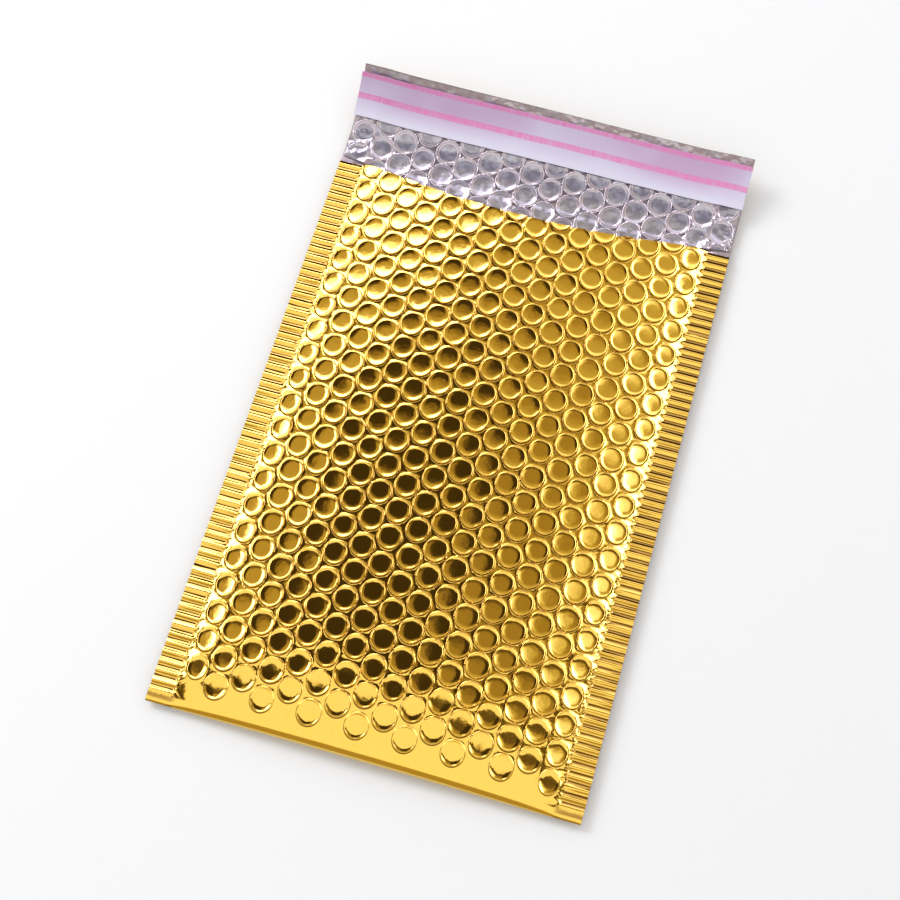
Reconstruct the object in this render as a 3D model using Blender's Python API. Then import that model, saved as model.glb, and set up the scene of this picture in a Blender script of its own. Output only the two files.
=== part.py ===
"""Padded envelope: a gold metallised bubble mailer, empty, lying on its back with its flap open.

The real one is a laminated web that is folded once at the bottom and crimped along both sides, so
every layer here is drawn as a flat web and then folded. A point of a web has two coordinates in
millimetres: x across it, and s along it from the nose of the bottom fold, negative on the front
wall and positive on the back wall and the flap that continues it.
"""
import math
from collections import namedtuple

import bmesh
import bpy
import numpy as np
from mathutils.geometry import delaunay_2d_cdt

MM = 0.001
WELD = 0.00002            # metres, for points that two sheets share

# Body, in millimetres
BODY_WIDTH = 180.0        # over both crimped seams
BODY_LENGTH = 260.0       # bottom fold to mouth
SEAM_WIDTH = 9.8
BODY_TOP = 9.5            # groove level of the front wall, above the surface it lies on
SEAM_TOP = 3.9
SEAM_BOTTOM = 2.1
FLAT_HALF = 60.0          # half width of the level middle of the front wall
UNDERSIDE_ARCH = 0.35     # how far the middle of the back wall stands off the table
FOLD_Y = 4.0              # where the walls run into the bottom fold
FOLD_RAMP = 42.0          # length over which the front wall drops to the fold
FOLD_DROP = 0.64          # share of the front wall's height that is lost at the fold
MOUTH_DIP = 3.0           # how far the middle of the front edge is pulled back
MOUTH_DIP_REACH = 30.0

# Bubbles of the padding
COLUMNS = 16
COLUMN_STEP = 9.85
PITCH = 12.05             # along a column
FIRST_ROW = 12.3          # from the fold to the first bubbles
BUBBLE_HEIGHT = 1.1
EDGE_BUBBLE_HEIGHT = 0.4  # where the crimped seams squeeze them
ARCH_HALF = 5 * COLUMN_STEP  # the arch of the back wall ends here, and the next bubbles carry it
BUBBLE_FADE = (5.0, 21.0)  # they flatten towards the fold, between these distances from it

# Crimp ribs of the seams: three to a bubble
RIB_STEP = PITCH / 6      # crest to hollow
RIB_HEIGHT = 0.35         # above and below the seam's middle

# Flap
FLAP_LENGTH = 48.0        # along the web
FLAP_ROOT = 8.0           # stays level past the mouth, then curls up
FLAP_RISE = 13.0          # at the middle of its end
FLAP_TWIST = 3.5          # the left corner stands higher than the right by twice this
FLAP_CUP = 2.0            # both corners stand this much above the middle
DOME_HEIGHT = 1.2         # clear bubbles on the flap's inner face
DOME_SHOULDER = 0.7       # height of a dome's corners, as a share of its middle's
DOME_END = 23.0           # last of them, along the flap; past it they are pressed flat
PRESSED_HEIGHT = 0.6

# Layers, as depths below the grooves of the outer face
FILM = 0.4
GAP = 0.3
LINER = 0.7
FLAP_LINER = 0.4
LINER_TOP = FILM + GAP + LINER
PRESSED_TOP = FILM + GAP + FLAP_LINER + PRESSED_HEIGHT

# Adhesive band and release strip
STRIP_START = 24.0        # along the flap
STRIP_WIDTH = 20.5
STRIP_THICK = 0.25
STRIP_OVERHANG = 0.6
BAND_START = 26.5
BAND_WIDTH = 15.5
BAND_THICK = 0.3
BAND_END = 2.0            # short of the flap's sides

HALF_WIDTH = BODY_WIDTH / 2
SEAM_X = HALF_WIDTH - SEAM_WIDTH
MID_Z = (SEAM_TOP + SEAM_BOTTOM) / 2
FOLD_ARC = 5.2            # half the length of web that turns round the fold
MOUTH_S = FOLD_ARC + BODY_LENGTH - FOLD_Y

# A face of a layer: its depth, the half width at which front and back meet, the width over which
# they close, the half thickness left where they meet, and how far it flares out on the flap
Face = namedtuple("Face", "depth half close edge flare root")
FILM_OUTSIDE = Face(0.0, HALF_WIDTH, 0.0, 0.0, 0.0, 0.6)
FILM_INSIDE = Face(FILM, 78.5, 2.5, 0.0, 0.0, 0.6)
LINER_OUTSIDE = Face(FILM + GAP, 76.0, 2.0, 0.35, HALF_WIDTH - 0.3 - 76.0, 0.8)
LINER_INSIDE = Face(LINER_TOP, 74.0, 2.0, 0.0, HALF_WIDTH - 0.3 - 76.0, 0.8)
FLARE_START = 66.0
FLARE_LENGTH = 2.2

# Stations of the smooth sheets; layers share them, so that their facets stay parallel
BODY_STATIONS = (18.0, 36.0, 100.0, 180.0, BODY_LENGTH)
FOLD_TURNS = (-1.0, -1 / 3, 1 / 3, 1.0)
OUTER_FOLD_TURNS = (-1.0, -2 / 3, -1 / 3, 0.0, 1 / 3, 2 / 3, 1.0)
SMOOTH_X = (0.0, 56.0, 66.0, 74.0)
FLAP_STATIONS = (8.0, 16.0, 24.0, 32.0, 40.0, FLAP_LENGTH)


def both_sides(values):
    """Sorted positions across the web, from those of its right half."""
    return sorted({sign * value for value in values for sign in (-1, 1)})


def across(x):
    """The pillow's height across its width: 1 in the middle, 0 at the seams."""
    t = np.clip((np.abs(x) - FLAT_HALF) / (SEAM_X - FLAT_HALF), 0, 1)
    return (1 - t ** 2.2) ** 0.8


def along(y):
    """The front wall's height along its length: full in the body, low at the fold."""
    t = np.clip(1 - y / FOLD_RAMP, 0, 1)
    return 1 - FOLD_DROP * t ** 2


def front_height(x, y):
    return SEAM_TOP + (BODY_TOP - SEAM_TOP) * across(x) * along(y)


def back_height(x):
    arch = UNDERSIDE_ARCH * (1 - np.clip(np.abs(x) / ARCH_HALF, 0, 1) ** 2) ** 2
    return SEAM_BOTTOM - (SEAM_BOTTOM - BUBBLE_HEIGHT) * across(x) + arch


def flap_curl(x):
    """Curvature of the flap's curl, as height per squared length."""
    side = x / HALF_WIDTH
    rise = FLAP_RISE - FLAP_TWIST * side + FLAP_CUP * side ** 2
    return rise / (FLAP_LENGTH - FLAP_ROOT) ** 2


def flap_advance(x, u):
    """How far along the table the flap reaches at u along the web."""
    return u - 2 / 3 * flap_curl(x) ** 2 * np.clip(u - FLAP_ROOT, 0, None) ** 3


SIDE_POSITIONS = np.linspace(-HALF_WIDTH, HALF_WIDTH, 61)
FLAP_REACH = float(flap_advance(SIDE_POSITIONS, FLAP_LENGTH).max())
FRAME_Y = (BODY_LENGTH + FLAP_REACH) / 2      # puts the origin under the middle of the whole


def place(face, x, s, raised):
    """Folds points of a flat web into the envelope: positions in millimetres, one row each."""
    x, s, raised = (np.asarray(v, dtype=float) for v in (x, s, raised))
    u = np.clip(s - MOUTH_S, 0, None)
    width = np.clip((np.abs(x) - FLARE_START) / (LINER_OUTSIDE.half - FLARE_START), 0, 1)
    out = x + np.sign(x) * width * face.flare * np.clip((u - face.root) / FLARE_LENGTH, 0, 1)
    shut = np.clip((face.half - np.abs(x)) / face.close, 0, 1) if face.close else np.ones_like(x)
    shut = shut + (1 - shut) * np.clip(u / face.root, 0, 1)

    y = FOLD_Y + np.clip(np.abs(s) - FOLD_ARC, 0, BODY_LENGTH - FOLD_Y)
    front = MID_Z + face.edge + (front_height(out, y) - face.depth - MID_Z - face.edge) * shut
    back = MID_Z - face.edge - (MID_Z - face.edge - back_height(out) - face.depth) * shut
    turn = np.clip(s / FOLD_ARC, -1, 1) * math.pi / 2
    z = (front + back) / 2 - ((front - back) / 2 + raised) * np.sin(turn)
    y = y - (FOLD_Y - face.depth) * np.cos(turn)

    dip = MOUTH_DIP * np.clip(1 - (x / LINER_INSIDE.half) ** 2, 0, 1)
    y = y - dip * np.clip(1 - (MOUTH_S + s) / MOUTH_DIP_REACH, 0, 1) ** 2

    curled = np.clip(u - FLAP_ROOT, 0, None)
    slope = 2 * flap_curl(out) * curled
    lean = 1 / np.sqrt(1 + slope ** 2)
    stack = face.depth - raised
    y = y + flap_advance(out, u) - stack * slope * lean
    z = z + flap_curl(out) * curled ** 2 - stack * (1 - lean)
    return np.stack([out, y - FRAME_Y, z], axis=-1)


def front_s(y):
    return -(FOLD_ARC + y - FOLD_Y)


def back_s(y):
    return FOLD_ARC + y - FOLD_Y


def bubble_centres(low, high):
    """Centres of the staggered bubbles whose distance from the fold is between two limits."""
    for column in range(COLUMNS):
        x = (column - (COLUMNS - 1) / 2) * COLUMN_STEP
        first = FIRST_ROW + (0 if column % 2 else PITCH / 2)
        for row in range(math.ceil((low - first) / PITCH), math.floor((high - first) / PITCH) + 1):
            yield x, first + row * PITCH


def bubble_points(low, high):
    """Corners of the hexagonal bubble tops, which touch at their corners, and the pits between."""
    corner_steps = [(0, 1 / 2), (0, -1 / 2)] + [(i / 2, j / 4) for i in (-1, 1) for j in (-1, 1)]
    pit_steps = [(2 / 3, 0), (-2 / 3, 0)] + [(i / 3, j / 2) for i in (-1, 1) for j in (-1, 1)]
    corners, pits = set(), set()
    for x, y in bubble_centres(low, high):
        for steps, points in ((corner_steps, corners), (pit_steps, pits)):
            for i, j in steps:
                points.add((round(x + i * COLUMN_STEP, 4), round(y + j * PITCH, 4)))
    edge = (COLUMNS / 2) * COLUMN_STEP
    return sorted(corners), sorted(p for p in pits if abs(p[0]) < edge - 0.5)


def wall_points(to_s):
    """Points of one padded wall of the body, each with how far it stands up."""
    low, high = FOLD_Y + 2, BODY_LENGTH - 2.5
    corners, pits = bubble_points(low, BODY_LENGTH)
    edge = (COLUMNS / 2) * COLUMN_STEP
    points = []
    for x, y in corners:
        if low < y < high:
            fade = min(max((y - BUBBLE_FADE[0]) / (BUBBLE_FADE[1] - BUBBLE_FADE[0]), 0), 1)
            height = EDGE_BUBBLE_HEIGHT if abs(x) > edge - 0.5 else BUBBLE_HEIGHT
            points.append((x, to_s(y), height * fade))
    points += [(x, to_s(y), 0.0) for x, y in pits if low < y < high]

    first = FIRST_ROW - PITCH / 4
    count = int((BODY_LENGTH - 1 - first) / RIB_STEP)
    for k in range(-2, count + 1):
        y = first + k * RIB_STEP
        crimp = RIB_HEIGHT * (1 if k % 2 else -1) * (1 if to_s is front_s else -1)
        points += [(x, to_s(y), crimp) for x in both_sides((SEAM_X, HALF_WIDTH))]
    return points


MOUTH_X = both_sides([k * COLUMN_STEP / 2 for k in range(COLUMNS + 1)] + [SEAM_X, HALF_WIDTH])
FOLD_X = both_sides((0.0, 30.0, 56.0, 66.0, 73.9, SEAM_X, HALF_WIDTH))


class Skin:
    """Collects the sheets of one closed solid."""

    def __init__(self):
        self.bm = bmesh.new()

    def add(self, positions, faces):
        verts = [self.bm.verts.new(p * MM) for p in positions]
        for face in faces:
            self.bm.faces.new([verts[i] for i in face])

    def grid(self, face, xs, ss, raised=0.0):
        """A smooth sheet on given stations."""
        x, s = np.meshgrid(xs, ss)
        positions = place(face, x.ravel(), s.ravel(), np.full(x.size, raised))
        n = len(xs)
        faces = [(r * n + c, r * n + c + 1, r * n + n + c + 1, r * n + n + c)
                 for r in range(len(ss) - 1) for c in range(n - 1)]
        self.add(positions, faces)

    def scatter(self, face, points, rails):
        """A sheet through scattered points of the flat web, such as the corners of bubbles. The
        rails are the stations whose points stay joined in a straight line across the web."""
        points = sorted(set(points))
        edges = []
        for rail in rails:
            on_rail = [i for i, point in enumerate(points) if point[1] == rail]
            edges += zip(on_rail, on_rail[1:])
        flat = [(x, s) for x, s, _ in points]
        _, _, faces, _, _, _ = delaunay_2d_cdt(flat, edges, [], 0, 0.0001)
        self.add(place(face, *np.array(points).T), faces)

    def ribbon(self, first, second):
        """Joins two rows of positions that run side by side."""
        n = len(first)
        faces = [(i, i + 1, n + i + 1, n + i) for i in range(n - 1)]
        self.add(list(first) + list(second), faces)

    def cap(self, outline):
        """Fills an outline that lies nearly square to the web's length."""
        flat = [(p[0], p[2]) for p in outline]
        _, _, faces, _, _, _ = delaunay_2d_cdt(flat, [], [list(range(len(flat)))], 1, 0.00001)
        self.add(outline, faces)

    def finish(self, name, material):
        bmesh.ops.remove_doubles(self.bm, verts=self.bm.verts, dist=WELD)
        bmesh.ops.dissolve_degenerate(self.bm, edges=self.bm.edges, dist=WELD / 10)
        bmesh.ops.triangulate(self.bm, faces=self.bm.faces)
        bmesh.ops.recalc_face_normals(self.bm, faces=self.bm.faces)
        mesh = bpy.data.meshes.new(name)
        self.bm.to_mesh(mesh)
        self.bm.free()
        mesh.materials.append(material)
        thing = bpy.data.objects.new(name, mesh)
        bpy.context.scene.collection.objects.link(thing)
        return thing


def close_body_sides(skin, face, stations, rest):
    """Closes the edge of both seams: the web's front and back edges, paired up from the mouth."""
    for side in (-1, 1):
        edge = np.array([(side * face.half, s, lift) for s, lift in stations])
        row = place(face, *edge.T)
        middle = place(rest, [side * face.half], [MOUTH_S], [0.0])[0]
        last = len(row) - 1
        pairs = [(i, i + 1, last - i - 1, last - i) for i in range(1, last // 2)]
        faces = [list(dict.fromkeys(pair)) for pair in pairs]
        skin.add(list(row) + [middle], faces + [(0, 1, last - 1, last, last + 1)])


def close_mouth(skin, outside, inside, outer_x, inner_x):
    """The cut edge of the front wall and the seams' ends, down to the flap."""
    front = place(outside, outer_x, [-MOUTH_S] * len(outer_x), [0.0] * len(outer_x))
    inner = place(inside, inner_x[::-1], [-MOUTH_S] * len(inner_x), [0.0] * len(inner_x))
    beyond = [x for x in outer_x if x > inside.half + 1]
    right = place(inside, beyond[::-1], [MOUTH_S] * len(beyond), [0.0] * len(beyond))
    left = place(inside, [-x for x in beyond], [MOUTH_S] * len(beyond), [0.0] * len(beyond))
    skin.cap(list(front) + list(right) + list(inner) + list(left))


def close_flap(skin, outside, inside, bottom_x, top_x, rows, lifts):
    """The flap's two sides and its end; lifts say how far the top stands up at each row."""
    for side in (-1, 1):
        edge = [side * outside.half] * len(rows)
        skin.ribbon(place(outside, edge, rows, [0.0] * len(rows)), place(inside, edge, rows, lifts))
    bottom = place(outside, bottom_x, [rows[-1]] * len(bottom_x), [0.0] * len(bottom_x))
    top = place(inside, top_x[::-1], [rows[-1]] * len(top_x), [lifts[-1]] * len(top_x))
    skin.cap(list(bottom) + list(top))


def make_material(name, colour, roughness, metallic=0.0, alpha=1.0):
    material = bpy.data.materials.new(name)
    material.use_nodes = True
    shader = material.node_tree.nodes["Principled BSDF"]
    shader.inputs["Base Color"].default_value = (*colour, 1.0)
    shader.inputs["Roughness"].default_value = roughness
    shader.inputs["Metallic"].default_value = metallic
    shader.inputs["Alpha"].default_value = alpha
    return material


def body_rows():
    """Stations of a smooth layer from the front edge round the fold to the back edge."""
    front = [front_s(y) for y in reversed(BODY_STATIONS)]
    fold = [turn * FOLD_ARC for turn in FOLD_TURNS]
    return front + fold + [back_s(y) for y in BODY_STATIONS]


def flap_rows(root):
    return [MOUTH_S + u for u in (0.0, root) + FLAP_STATIONS]


def flap_lift(height):
    """Lift that puts the liner's top this high above its base on the flap, thinner there."""
    return LINER - FLAP_LINER - height


def make_outer_film():
    """The gold web, with its padding's bubbles pressed through it and ribbed seams."""
    skin = Skin()
    body = wall_points(front_s) + wall_points(back_s)
    body += [(x, turn * FOLD_ARC, 0.0) for x in FOLD_X for turn in OUTER_FOLD_TURNS]
    mouth = [(x, s, 0.0) for x in MOUTH_X for s in (-MOUTH_S, MOUTH_S)]

    rows = flap_rows(FILM_OUTSIDE.root)
    end_x = both_sides((0.0, 56.0, 66.0, SEAM_X, HALF_WIDTH))
    low, high = BODY_LENGTH + 2, BODY_LENGTH + FLAP_LENGTH - 6
    corners, pits = bubble_points(low, high)
    flap = [(x, back_s(y), BUBBLE_HEIGHT) for x, y in corners
            if low < y < high and abs(x) < FLARE_START + COLUMN_STEP]
    flap += [(x, back_s(y), 0.0) for x, y in pits if low < y < high]
    flap += [(x, s, 0.0) for s in rows[1:-1] for x in (-HALF_WIDTH, HALF_WIDTH)]
    flap += [(x, rows[-1], 0.0) for x in end_x]
    rails = [turn * FOLD_ARC for turn in OUTER_FOLD_TURNS] + [-MOUTH_S]
    skin.scatter(FILM_OUTSIDE, body + mouth + flap, rails)

    inner_x = both_sides(SMOOTH_X + (LINER_OUTSIDE.half, FILM_INSIDE.half))
    flap_x = both_sides(SMOOTH_X + (LINER_OUTSIDE.half, FILM_INSIDE.half, SEAM_X, HALF_WIDTH))
    skin.grid(FILM_INSIDE, inner_x, body_rows())
    skin.grid(FILM_INSIDE, flap_x, rows)

    edge = sorted({(s, lift) for x, s, lift in body + mouth if x == HALF_WIDTH})
    close_body_sides(skin, FILM_OUTSIDE, edge, FILM_INSIDE)
    close_mouth(skin, FILM_OUTSIDE, FILM_INSIDE, MOUTH_X, inner_x)
    close_flap(skin, FILM_OUTSIDE, FILM_INSIDE, end_x, flap_x, rows, [0.0] * len(rows))
    return skin.finish("outer_film", make_material("gold_film", (0.83, 0.58, 0.14), 0.12, 1.0))


def make_bubble_liner():
    """The clear liner pouch, whose back wall runs on along the flap with its bubbles upwards."""
    skin = Skin()
    outer_x = both_sides(SMOOTH_X + (LINER_OUTSIDE.half,))
    inner_x = both_sides(SMOOTH_X)
    rows = flap_rows(LINER_OUTSIDE.root)
    rows.insert(2, rows[1] + FLARE_LENGTH)
    skin.grid(LINER_OUTSIDE, outer_x, body_rows() + rows[1:])
    skin.grid(LINER_INSIDE, inner_x, body_rows())

    base, pressed = flap_lift(0.0), flap_lift(PRESSED_HEIGHT)
    low, high, limit = BODY_LENGTH + 4, BODY_LENGTH + DOME_END, LINER_INSIDE.half - 2
    middles = list(bubble_centres(low, high - PITCH / 3))
    corners, pits = bubble_points(low, high - PITCH / 3)
    flap = [(x, back_s(y), flap_lift(DOME_HEIGHT)) for x, y in middles if abs(x) < limit]
    flap += [(x, back_s(y), flap_lift(DOME_HEIGHT * DOME_SHOULDER)) for x, y in corners
             if low < y < high and abs(x) < limit]
    flap += [(x, back_s(y), base) for x, y in pits if low < y < high and abs(x) < limit]
    lifts = [0.0] + [base] * 4 + [pressed] * (len(rows) - 5)
    for row, lift in zip(rows, lifts):
        among_domes = rows[2] < row < MOUTH_S + DOME_END
        flap += [(x, row, lift) for x in outer_x if not among_domes or abs(x) > limit]
    rails = rows[:3] + rows[5:]
    skin.scatter(LINER_INSIDE, flap, rails)

    edge = [(s, 0.0) for s in body_rows()]
    close_body_sides(skin, LINER_OUTSIDE, edge, LINER_INSIDE)
    close_mouth(skin, LINER_OUTSIDE, LINER_INSIDE, outer_x, inner_x)
    close_flap(skin, LINER_OUTSIDE, LINER_INSIDE, outer_x, outer_x, rows, lifts)
    return skin.finish("bubble_liner", make_material("clear_bubble", (0.66, 0.62, 0.7), 0.15))


def make_band(name, depth, thick, half, start, width, material):
    """A thin band across the flap, which follows its curl."""
    skin = Skin()
    under, over = (Face(d, half, 0.0, 0.0, 0.0, 1.0) for d in (depth, depth + thick))
    xs = both_sides((0.0, 56.0, 66.0, SEAM_X, half))
    inner = [u for u in FLAP_STATIONS if start < u < start + width]
    rows = [MOUTH_S + u for u in [start] + inner + [start + width]]
    for face in (under, over):
        skin.grid(face, xs, rows)
    for x in (-half, half):
        skin.ribbon(*(place(f, [x] * len(rows), rows, [0.0] * len(rows)) for f in (under, over)))
    for s in (rows[0], rows[-1]):
        skin.ribbon(*(place(f, xs, [s] * len(xs), [0.0] * len(xs)) for f in (under, over)))
    return skin.finish(name, material)


for thing in list(bpy.data.objects):
    bpy.data.objects.remove(thing)

make_outer_film()
make_bubble_liner()
make_band("adhesive_band", PRESSED_TOP + GAP, BAND_THICK, HALF_WIDTH - BAND_END, BAND_START,
          BAND_WIDTH, make_material("hot_melt", (0.88, 0.85, 0.72), 0.3))
make_band("release_strip", PRESSED_TOP + GAP + BAND_THICK + GAP, STRIP_THICK,
          HALF_WIDTH + STRIP_OVERHANG, STRIP_START, STRIP_WIDTH,
          make_material("release_film", (0.80, 0.74, 0.90), 0.3))
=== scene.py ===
import math

import bpy
import numpy as np
from mathutils import Matrix, Vector
from mathutils.geometry import delaunay_2d_cdt


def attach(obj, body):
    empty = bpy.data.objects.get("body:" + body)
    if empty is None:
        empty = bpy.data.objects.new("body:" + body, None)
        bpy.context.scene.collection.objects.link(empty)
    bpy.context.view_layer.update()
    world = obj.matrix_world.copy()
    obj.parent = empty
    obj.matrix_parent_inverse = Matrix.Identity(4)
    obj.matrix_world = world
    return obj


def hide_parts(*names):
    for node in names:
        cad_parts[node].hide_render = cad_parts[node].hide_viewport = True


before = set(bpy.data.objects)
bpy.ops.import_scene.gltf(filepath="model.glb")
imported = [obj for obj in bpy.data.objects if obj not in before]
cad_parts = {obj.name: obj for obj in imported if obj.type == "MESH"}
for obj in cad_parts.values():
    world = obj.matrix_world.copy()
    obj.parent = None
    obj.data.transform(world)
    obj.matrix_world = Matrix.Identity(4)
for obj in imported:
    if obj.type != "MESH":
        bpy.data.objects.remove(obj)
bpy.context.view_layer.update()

mm = 0.001

# The envelope is one web folded at the bottom. Every sheet below is worked out flat, with x across
# the web and s along it from the nose of the fold (front wall negative, back wall and flap positive),
# and foldWeb() then bends it into place. All of it is in millimetres up to makeMesh().
pouch = {
    "half": 90.0, "length": 260.0, "seamX": 80.2, "top": 10.9, "seamTop": 3.9, "seamBottom": 2.1,
    "grooveBottom": 1.1, "flatHalf": 60.0, "arch": 0.35, "archHalf": 49.25,
    "foldY": 4.0, "foldArc": 5.2, "foldRamp": 42.0, "foldDrop": 0.64,
    "mouthCut": 9.0, "mouthCutHalf": 74.0,
    "film": 0.4, "seamFilm": 0.88,
}
flap = {"length": 48.0, "root": 8.0, "rise": 13.0, "twist": 3.5, "cup": 2.0}
mouthS = pouch["foldArc"] + pouch["length"] - pouch["foldY"]
webWidth = 2 * pouch["half"]


def frontHeight(x, y):
    # a lens across the width, (1 - t^2)^0.85, which drops to the fold with the square of the way left
    lens = (1 - np.clip(np.abs(x) / pouch["seamX"], 0, 1) ** 2) ** 0.85
    t = np.clip(1 - y / pouch["foldRamp"], 0, 1)
    return pouch["seamTop"] + (pouch["top"] - pouch["seamTop"]) * lens * (1 - pouch["foldDrop"] * t ** 2)


def backHeight(x):
    # level in the middle apart from a slight arch, and rounded up to the seams, (1 - t^2.2)^0.8
    t = np.clip((np.abs(x) - pouch["flatHalf"]) / (pouch["seamX"] - pouch["flatHalf"]), 0, 1)
    level = (1 - t ** 2.2) ** 0.8
    arch = pouch["arch"] * (1 - np.clip(np.abs(x) / pouch["archHalf"], 0, 1) ** 2) ** 2
    return pouch["seamBottom"] - (pouch["seamBottom"] - pouch["grooveBottom"]) * level + arch


def mouthCut(x):
    # the front edge is cut back in a curve, by 1 - (x / half)^2 of its depth in the middle
    return pouch["mouthCut"] * np.clip(1 - (x / pouch["mouthCutHalf"]) ** 2, 0, 1)


def flapCurl(x):
    # the flap's height over the square of the way along it, more on the left and at both sides
    side = x / pouch["half"]
    rise = flap["rise"] - flap["twist"] * side + flap["cup"] * side ** 2
    return rise / (flap["length"] - flap["root"]) ** 2


def flapAdvance(x, u):
    # how far the flap reaches: its length less 2/3 of curl^2 times the cube of the curled part
    return u - 2 / 3 * flapCurl(x) ** 2 * np.clip(u - flap["root"], 0, None) ** 3


flapReach = float(flapAdvance(np.linspace(-pouch["half"], pouch["half"], 61), flap["length"]).max())
frameY = (pouch["length"] + flapReach) / 2       # the frame's origin, from the fold


def foldWeb(x, s, depth):
    # a half turn round the fold, level walls, then a flap that rises with the square of its length;
    # depth is measured inwards from the grooves of the outer face, along the sheet's own normal
    y = pouch["foldY"] + np.clip(np.abs(s) - pouch["foldArc"], 0, pouch["length"] - pouch["foldY"])
    front, back = frontHeight(x, y), backHeight(x)
    turn = np.clip(s / pouch["foldArc"], -1, 1) * math.pi / 2
    z = (front + back) / 2 - ((front - back) / 2 - depth) * np.sin(turn)
    y = y - (pouch["foldY"] - depth) * np.cos(turn)

    u = np.clip(s - mouthS, 0, None)
    curled = np.clip(u - flap["root"], 0, None)
    slope = 2 * flapCurl(x) * curled
    lean = 1 / np.sqrt(1 + slope ** 2)
    y = y + flapAdvance(x, u) - depth * slope * lean
    z = z + flapCurl(x) * curled ** 2 - depth * (1 - lean)
    return np.stack([x, y - frameY, z], axis=-1)


def stationOf(y, side):
    # station along the web of a distance from the fold; side is -1 on the front wall, 1 on the back
    return side * (pouch["foldArc"] + y - pouch["foldY"])


def distanceOf(s):
    return np.abs(s) - pouch["foldArc"] + pouch["foldY"]


# Bubbles: staggered columns, each bubble a little different from the next. wall is 0 for the front
# and 1 for the back with the flap
bubbles = {
    "columns": 16, "step": 9.85, "pitch": 12.05, "first": 12.3,
    "halfX": 5.0, "halfY": 5.5, "height": 1.1, "rim": 0.945,
    "dish": 0.21, "dishPower": 4.8, "dishNearFold": 1.3, "dishAtEdge": 1.8,
    "edgeSqueeze": 0.86, "edgeHeight": 0.8,
    "offset": 0.22, "sizeSpread": 0.03, "heightSpread": 0.07, "tilt": 0.016,
    "fadeLow": 5.0, "fadeHigh": 27.0, "stepTilt": 0.3, "stepTiltEnd": 50.0,
    "fillet": 0.08, "filletReach": 0.13,
    # lineAt, lineWidth and lineEnd place the painted shade line round each bubble's foot
    "lineAt": 1.0, "lineWidth": 0.035, "lineEnd": 70.0, "seed": 7,
}
rowCount = 30
chance = np.random.default_rng(bubbles["seed"])
cells = {key: chance.uniform(-1, 1, (2, bubbles["columns"], rowCount)) for key in
         ("offsetX", "offsetY", "size", "height", "tiltX", "tiltY")}


def alongSeam(column):
    return (column == 0) | (column == bubbles["columns"] - 1)


def latticePlace(column, row):
    # even columns stand half a pitch further from the fold than odd ones
    x = (column - (bubbles["columns"] - 1) / 2) * bubbles["step"]
    shift = np.where(column.astype(int) % 2, 0, bubbles["pitch"] / 2)
    return x, bubbles["first"] + shift + row * bubbles["pitch"]


def bubbleCentres(column, row, wall):
    i, j = np.clip(column.astype(int), 0, bubbles["columns"] - 1), row.astype(int)
    x, y = latticePlace(column, row)
    return (x + bubbles["offset"] * cells["offsetX"][wall, i, j],
            y + bubbles["offset"] * cells["offsetY"][wall, i, j])


def bubbleHalves(i, j, wall, beyond=0):
    # half of a bubble's width and length; inside the pouch, those along the seams are narrower
    size = 1 + bubbles["sizeSpread"] * cells["size"][wall, i, j]
    squeeze = np.where(alongSeam(i) & (beyond == 0), bubbles["edgeSqueeze"], 1.0)
    return bubbles["halfX"] * size * squeeze, bubbles["halfY"] * size


def nearestBubble(x, y, wall, beyond=0):
    # tries the two nearest columns and keeps the bubble whose edge is nearest; beyond is the number of
    # columns outside the pouch on each side
    position = x / bubbles["step"] + (bubbles["columns"] - 1) / 2
    best = None
    for column in (np.floor(position), np.ceil(position)):
        column = np.clip(column, -beyond, bubbles["columns"] - 1 + beyond)
        i = np.clip(column.astype(int), 0, bubbles["columns"] - 1)
        first = latticePlace(column, 0)[1]
        row = np.clip(np.round((y - first) / bubbles["pitch"]), 0, rowCount - 1)
        j = row.astype(int)
        cx, cy = bubbleCentres(column, row, wall)
        halfX, halfY = bubbleHalves(i, j, wall, beyond)
        dx, dy = (x - cx) / halfX, (y - cy) / halfY
        t = np.hypot(dx, dy)
        found = np.stack([t, dx, dy, i, j, cy], axis=0)
        best = found if best is None else np.where(found[0] < best[0], found, best)
    return best


def bubbleShoulder(t):
    # level up to the rim, then rounded off like a quarter of an ellipse
    rim = bubbles["rim"]
    return np.sqrt(np.clip(1 - (np.clip(t - rim, 0, None) / (1 - rim)) ** 2, 0, 1))


def bubbleDish(t, column, centreY):
    # depth of the dish in the bubble's top, 1 - t^power, which steepens towards the rim; it is deeper
    # near the fold and in the bubbles along the seams
    nearFold = np.clip(1 - centreY / bubbles["stepTiltEnd"], 0, 1)
    depth = bubbles["dish"] * (1 + bubbles["dishNearFold"] * nearFold)
    depth = np.where(alongSeam(column), bubbles["dish"] * bubbles["dishAtEdge"], depth)
    return depth * (1 - np.clip(t / bubbles["rim"], 0, 1) ** bubbles["dishPower"])


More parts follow.
